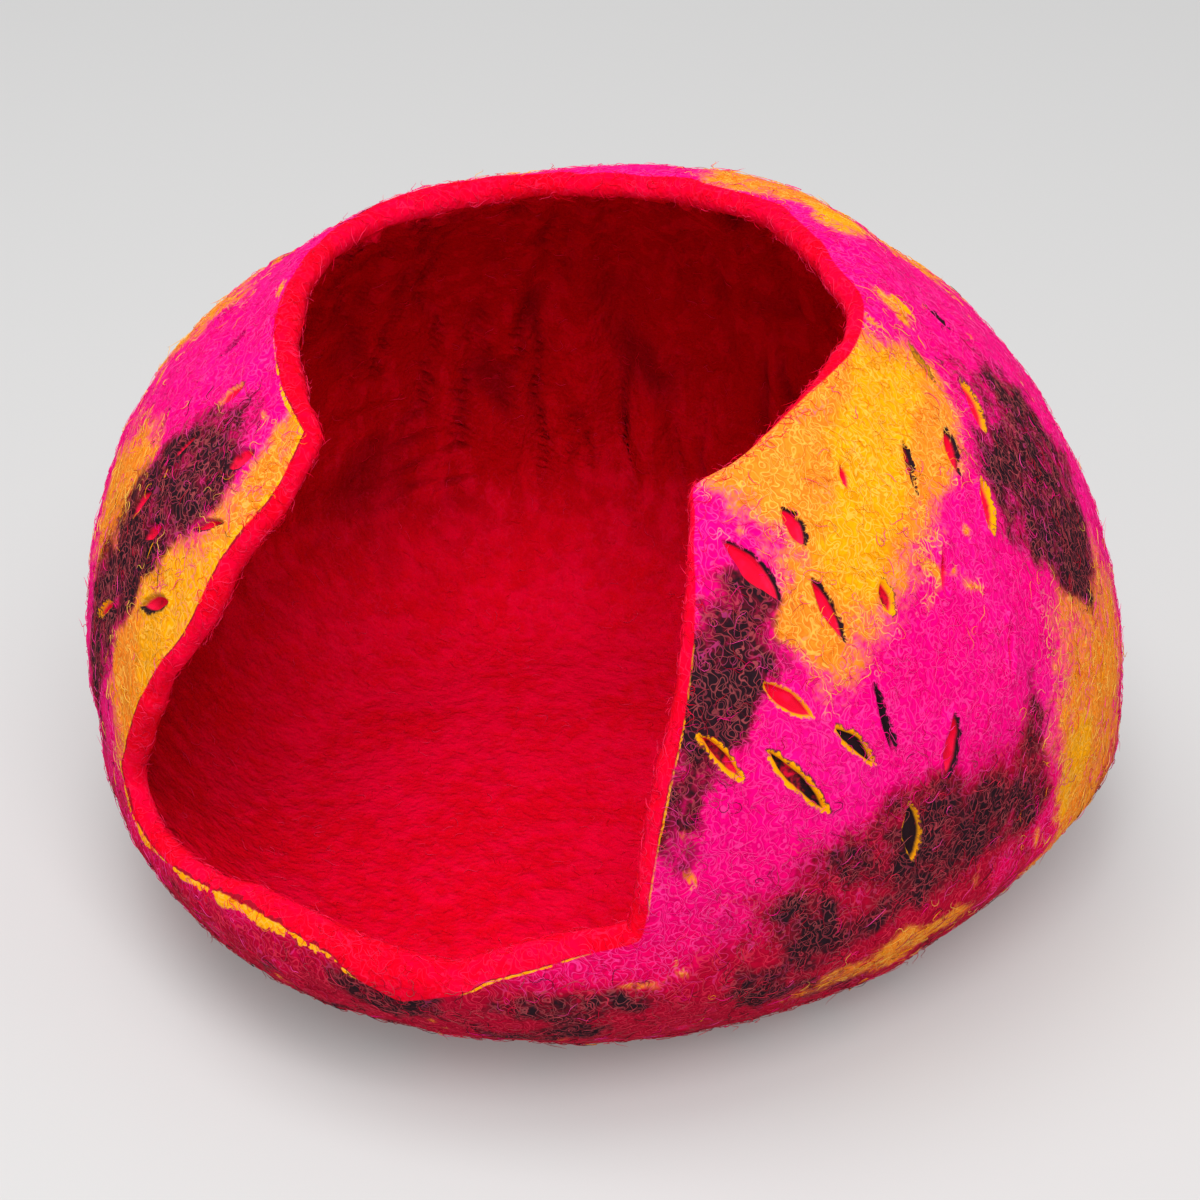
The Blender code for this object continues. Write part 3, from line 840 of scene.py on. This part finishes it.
def makeShell():
    # The cave, and what its finish reads at each vertex: the wools' weights, cm from the rim, depth
    # inside, the nearest slash and the painted shade of the creases inside.
    rim, ways, inner, turn, column, faces = shellSurface()
    points, distance, along, side, looks = shellPoints(rim, ways, inner, turn, column)
    piece = newMesh("felt_cave", points, faces)
    weights = woolWeights(points)
    giveAttribute(piece, "woolMix", weights)
    outsideRows = np.flatnonzero(inner == 0)
    edge = bodyPoint(rim)
    away = np.zeros(len(points))
    base = bodyPoint(ways)
    nearest = np.maximum(column, 0)
    for start in range(0, len(outsideRows), shell["batch"]):
        rows = outsideRows[start:start + shell["batch"]]
        gaps = ((base[rows, None] - edge[None]) ** 2).sum(-1)
        nearest[rows] = gaps.argmin(1)
        away[rows] = np.sqrt(gaps.min(1)) * 100
    upper, lower = mouth["columns"]
    alongRim = np.where(nearest < upper, nearest / upper, 1 + (nearest - upper) / lower)
    edging = mouth["edging"]
    lineWide, redOver = (np.interp(alongRim, edging[:, 0], edging[:, row]) / 10 for row in (1, 2))
    away = np.where(inner == 1, -wallAt(ways)[:, 0] / 2 * turn * 100, away) - redOver
    within = inner == 1
    # the depth comes to 0.1 round the edge, and grows by 2.2 a radian beyond
    depth = np.zeros(len(points))
    depth[within] = 0.1 * smoothStep(2.2, 3.0, turn[within])
    depth[within] += 2.2 * angleBetween(ways[within], rim[column[within]])[:, 0]
    giveAttribute(piece, "edge", np.stack([away, depth, lineWide], -1))
    giveAttribute(piece, "slash", np.stack([distance / 10, along, side], -1))
    giveAttribute(piece, "slashLookAndCreaseShade", looks * (0.1, 0.1, 1.0))
    piece.data.materials.append(marbledFelt())
    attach(piece, "root")
    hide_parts("felt_shell")
    print("felt shell:", len(faces), "triangles")
    return ways, inner, turn, faces, points


# loose wool that curls over the felt
fibres = {
    "rings": 7,  # along a fibre, between its tips
    "thick": (0.00011, 0.00019),  # radius, metres
    "turning": (220.0, 140.0),  # radians a metre: spread, and what is added either way
    "sway": (0.3, 1.1),  # radians
    "waves": (4.0, 11.0),  # radians of its wave over a fibre's length
    "bed": 0.00012,  # metres above the felt that a fibre lies
    "swell": 0.0009,  # metres that its middle may rise on top of that
    "lowest": 0.0008,  # metres above the floor
    "lowestRoot": 0.006,
    "hub": (0.0, 0.0, 0.1),  # what directions are measured from
    "overSlash": 0.12,  # share of fibres that cross a slash
    "slashGap": 0.4,  # mm off a slash where the others end
    "colourBlend": 0.008,  # metres away that its colour may come from
    "spare": 1.3,  # roots for each fibre, because those on slashes are dropped
    "shade": 0.35,
    "shadeScale": 260.0,  # noises to the metre
    "shadeColour": (0.05, 0.0, 0.01, 1.0),
    "roughness": 0.9,
    "shine": 0.1,
    # name, count, where, length in mm, share that stands off, how far it does in mm, seed
    "pieces": (
        *((f"outer_curls_{number}", 4600, "outside", (8.0, 17.0), 0.03, (1.5, 4.5), number)
          for number in (1, 2, 3)),
        ("rim_fuzz", 1500, "rim", (6.0, 13.0), 0.25, (1.0, 3.5), 4),
        ("inner_fuzz", 2600, "inside", (6.0, 13.0), 0.10, (1.0, 3.0), 5),
    ),
    # what shows over orange, yellow, charcoal, crimson and magenta, and how often
    "over": (
        (("orange", 2), ("palePeach", 4), ("yellow", 3)),
        (("yellow", 4), ("palePeach", 4), ("orange", 1)),
        (("charcoal", 2), ("dustyRose", 4), ("tan", 3), ("crimson", 2)),
        (("dustyRose", 2), ("brightCrimson", 4), ("crimson", 2), ("charcoal", 1), ("rose", 2)),
        (("magenta", 2), ("pink", 4), ("paleMagenta", 4)),
    ),
    "red": (("red", 5), ("deepRed", 2), ("brightRed", 3)),
}


def pickedWools(choices, random):
    # One colour for each random number, each wool as often as its share says.
    names = [name for name, share in choices]
    shares = np.cumsum([share for name, share in choices]) / sum(share for name, share in choices)
    table = np.array([wool[name] for name in names])
    return table[np.minimum(np.searchsorted(shares, random), len(names) - 1)]


def fibreColours(roots, random):
    # The wool is drawn by the weights at the root, and the colour from what shows over it.
    weights = woolWeights(roots)
    weights = np.concatenate([weights, 1 - weights.sum(-1, keepdims=True)], -1)
    which = (np.cumsum(weights, axis=-1) < random.random(len(roots))[:, None]).sum(-1).clip(0, 4)
    picks = random.random(len(roots))
    colours = np.zeros((len(roots), 4))
    for number, choices in enumerate(fibres["over"]):
        rows = np.flatnonzero(which == number)
        colours[rows] = pickedWools(choices, picks[rows])
    return colours


def fibreTubes(path, normal, thick):
    # Rings of three points, above times sine plus across times cosine round each place of the path,
    # thinner toward both tips by the root of a sine.
    tangent = unit(np.gradient(path, axis=1))
    across = unit(np.cross(tangent, normal))
    above = np.cross(across, tangent)
    count, rings = path.shape[:2]
    inner = path[:, 1:-1]
    angles = np.radians((90.0, 210.0, 330.0))
    taper = (np.sin(np.linspace(0.25, math.pi - 0.25, rings - 2)) ** 0.5)[None, :, None, None]
    spoke = (above[:, 1:-1, None] * np.sin(angles)[:, None]
             + across[:, 1:-1, None] * np.cos(angles)[:, None])
    ring = inner[:, :, None] + thick[:, None, None, None] * taper * spoke
    points = np.concatenate([ring.reshape(count, -1, 3), path[:, :1], path[:, -1:]], axis=1)
    tube = np.arange((rings - 3) * 3).reshape(-1, 3)
    beside = np.roll(tube, -1, axis=1)
    sides = np.concatenate([np.stack([tube, beside, beside + 3], -1),
                            np.stack([tube, beside + 3, tube + 3], -1)])
    last = (rings - 3) * 3
    first, tip = np.arange(3), (rings - 2) * 3
    after = np.roll(first, -1)
    caps = [np.stack([after, first, np.full(3, tip)], -1),
            np.stack([first + last, after + last, np.full(3, tip + 1)], -1)]
    one = np.concatenate([sides.reshape(-1, 3)] + caps)
    faces = one[None] + (np.arange(count) * points.shape[1])[:, None, None]
    return points.reshape(-1, 3), faces.reshape(-1, 3)


def fibreRoots(surface, where, count, random):
    # Random mixes of triangle corners, spread evenly by area: their directions and their places.
    ways, inner, turn, faces, points = surface
    corners = points[faces]
    crossed = np.cross(corners[:, 1] - corners[:, 0], corners[:, 2] - corners[:, 0])
    area = np.linalg.norm(crossed, axis=-1)
    high = corners[:, :, 2].mean(1)
    if where == "outside":
        wanted = area * (inner[faces].max(1) == 0) * (high > fibres["lowestRoot"])
    elif where == "rim":
        wanted = area * (inner[faces].max(1) == 1) * (turn[faces].max(1) < shell["faceTurn"])
    else:
        wanted = area * (turn[faces].min(1) > shell["faceTurn"])
    picked = random.choice(len(faces), int(count * fibres["spare"]), p=wanted / wanted.sum())
    mixed = random.dirichlet((1, 1, 1), len(picked))
    root = unit((ways[faces[picked]] * mixed[..., None]).sum(1))
    onFace = (corners[picked] * mixed[..., None]).sum(1)
    if where == "outside":
        clear = slashField(bodyPoint(root))[0] > fibres["slashGap"]
        kept = clear | (random.random(len(root)) < fibres["overSlash"])
        root, onFace = root[kept], onFace[kept]
    return root[:count], onFace[:count]


def makeFibres(surface):
    # From each root runs a line, the sum of the cosines and sines of a heading that turns steadily
    # and sways, and it is laid on the felt. Its middle swells off the felt, and some lift one end.
    material = fibreMaterial()
    steps = fibres["rings"] + 2
    along = np.linspace(-0.5, 0.5, steps)
    spread, added = fibres["turning"]
    for name, count, where, lengths, standing, heights, seed in fibres["pieces"]:
        random = np.random.default_rng(seed)
        root, onFace = fibreRoots(surface, where, count, random)
        count = len(root)
        each = (count, 1)
        length = random.uniform(*lengths, count)[:, None] / 1000
        bend = random.normal(0, 1, each) * spread + np.sign(random.normal(0, 1, each)) * added
        sway = random.uniform(*fibres["sway"], each) * np.sin(
            along * random.uniform(*fibres["waves"], each) + random.uniform(0, 6.28, each))
        heading = random.uniform(0, 2 * math.pi, each) + bend * length * along + sway
        stride = length / (steps - 1)
        x = np.cumsum(np.cos(heading) * stride, axis=1)
        y = np.cumsum(np.sin(heading) * stride, axis=1)
        x, y = (one - one.mean(1, keepdims=True) for one in (x, y))
        x, y = x[..., None], y[..., None]
        normal, up, right = frameAt(root)
        swell = random.uniform(0.0, fibres["swell"], each) * np.cos(along * math.pi) ** 2
        loose = random.random(each) < standing
        lift = loose * random.uniform(*heights, each) / 1000 * (along + 0.5) ** 2
        raised = (fibres["bed"] + swell + lift)[..., None]
        if where == "outside":
            flat = onFace[:, None] + x * right[:, None] + y * up[:, None]
            far = np.linalg.norm(onFace - fibres["hub"], axis=-1)[:, None, None]
            laid = unit(root[:, None] + (flat - onFace[:, None]) / far)
            face = frameAt(laid)[0]
            path = bodyPoint(laid) + (onFace - bodyPoint(root))[:, None] + face * raised
            aside = flat - path
            path = path + (aside - face * (aside * face).sum(-1, keepdims=True))
            near = onFace + random.normal(0, fibres["colourBlend"], onFace.shape)
            colours = fibreColours(near, random)
        else:
            outward = -normal
            if where == "rim":
                outward = unit(onFace - (bodyPoint(root) - normal * wallAt(root) / 2))
            over = unit(np.cross(outward, (0.3, 0.5, 0.8)))
            other = np.cross(outward, over)
            path = onFace[:, None] + x * over[:, None] + y * other[:, None]
            face = np.broadcast_to(outward[:, None], path.shape)
            path = path + face * raised
            colours = pickedWools(fibres["red"], random.random(count))
        path[..., 2] = np.maximum(path[..., 2], fibres["lowest"])
        tubePoints, tubeFaces = fibreTubes(path, face, random.uniform(*fibres["thick"], count))
        piece = newMesh(name, tubePoints, tubeFaces)
        colours = np.repeat(colours, len(tubePoints) // count, axis=0)
        giveAttribute(piece, "fibreColour", colours)
        piece.data.materials.append(material)
        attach(piece, "root")
        print(name + ":", len(tubeFaces), "triangles")


def fibreMaterial():
    # Each fibre's own colour, darkened here and there by noise.
    build = finishBuilder("woolFibre")
    colour = build.attribute("fibreColour", "Color")
    shade = build.ramp(build.noise(build.place, fibres["shadeScale"], 1.0), 0.2, 0.8)
    darker = build.mix(0.5, colour, fibres["shadeColour"])
    build.set("Base Color", build.mix(shade * fibres["shade"], colour, darker))
    build.set("Roughness", fibres["roughness"])
    build.set("Specular IOR Level", fibres["shine"])
    return build.material


studio = {
    "floorHalf": 6.0,  # metres
    "floorCells": 24,
    "floorDrop": 0.0002,  # metres below the felt
    "floorColour": (0.47, 0.47, 0.47, 1.0),
    "floorGlow": 0.18,  # its own light keeps the shadows pale
    "glowColour": (1.0, 0.985, 0.975, 1.0),
    "airLight": 0.45,
    "lightBounces": 2,
    "target": (-0.0014, 0.004, 0.1318),  # where the camera looks
    "azimuth": 20.0,  # degrees to the right of straight ahead
    "elevation": 30.0,
    "distance": 1.6,  # metres
    "lens": 100.0,  # mm
    "sensor": 36.0,  # mm
    "lightTarget": (0.0, 0.0, 0.12),
    # place, size in metres, power in watts
    "lights": (
        ((1.0, -2.1, 3.0), 2.2, 96.0),
        ((-0.5, -0.5, 3.4), 2.4, 50.0),
    ),
}


def aim(thing, place, target):
    # Its own -z points at the target: tilted by the arc tangent of flat over fall, and turned by
    # the bearing less a quarter turn.
    x, y, z = np.array(target) - np.array(place)
    thing.location = place
    thing.rotation_euler = (math.atan2(math.hypot(x, y), -z), 0.0, math.atan2(y, x) - math.pi / 2)


def makeStudio():
    # A floor, round soft lamps and an even light from all sides.
    half, cells = studio["floorHalf"], studio["floorCells"]
    steps = np.linspace(-half, half, cells + 1)
    x, y = np.meshgrid(steps, steps, indexing="ij")
    points = np.stack([x, y, 0 * x - studio["floorDrop"]], -1).reshape(-1, 3)
    first = (np.arange(cells)[:, None] * (cells + 1) + np.arange(cells)).ravel()
    corners = (first, first + cells + 1, first + cells + 2, first + 1)
    floor = newMesh("floor", points, np.stack(corners, -1))
    build = finishBuilder("studioFloor")
    build.set("Base Color", studio["floorColour"])
    build.set("Emission Color", studio["glowColour"])
    build.set("Emission Strength", studio["floorGlow"])
    build.set("Roughness", 0.9)
    build.set("Specular IOR Level", 0.1)
    floor.data.materials.append(build.material)
    for number, (place, size, power) in enumerate(studio["lights"]):
        lamp = bpy.data.lights.new("softLight" + str(number), "AREA")
        lamp.shape = "DISK"
        lamp.size = size
        lamp.energy = power
        aim(linked(lamp.name, lamp), place, studio["lightTarget"])
    world = bpy.data.worlds.new("studioAir")
    world.use_nodes = True
    light = world.node_tree.nodes["Background"]
    light.inputs["Color"].default_value = (1.0, 1.0, 1.0, 1.0)
    light.inputs["Strength"].default_value = studio["airLight"]
    scene.world = world
    scene.view_settings.view_transform = "Standard"
    scene.cycles.diffuse_bounces = studio["lightBounces"]
    print("studio: a floor and", len(studio["lights"]), "lamps")


def makeCamera():
    # It stands back from its target along cos e sin a, -cos e cos a, sin e.
    azimuth, elevation = math.radians(studio["azimuth"]), math.radians(studio["elevation"])
    level = math.cos(elevation)
    back = np.array((math.sin(azimuth) * level, -math.cos(azimuth) * level, math.sin(elevation)))
    lens = bpy.data.cameras.new("photoView")
    lens.lens = studio["lens"]
    lens.sensor_width = studio["sensor"]
    lens.clip_start = 0.05
    view = linked("photoView", lens)
    aim(view, tuple(np.array(studio["target"]) + studio["distance"] * back), studio["target"])
    scene.camera = view
    print("camera: a", studio["lens"], "mm lens at", studio["distance"], "metres")


makeStudio()
makeCamera()
makeFibres(makeShell())
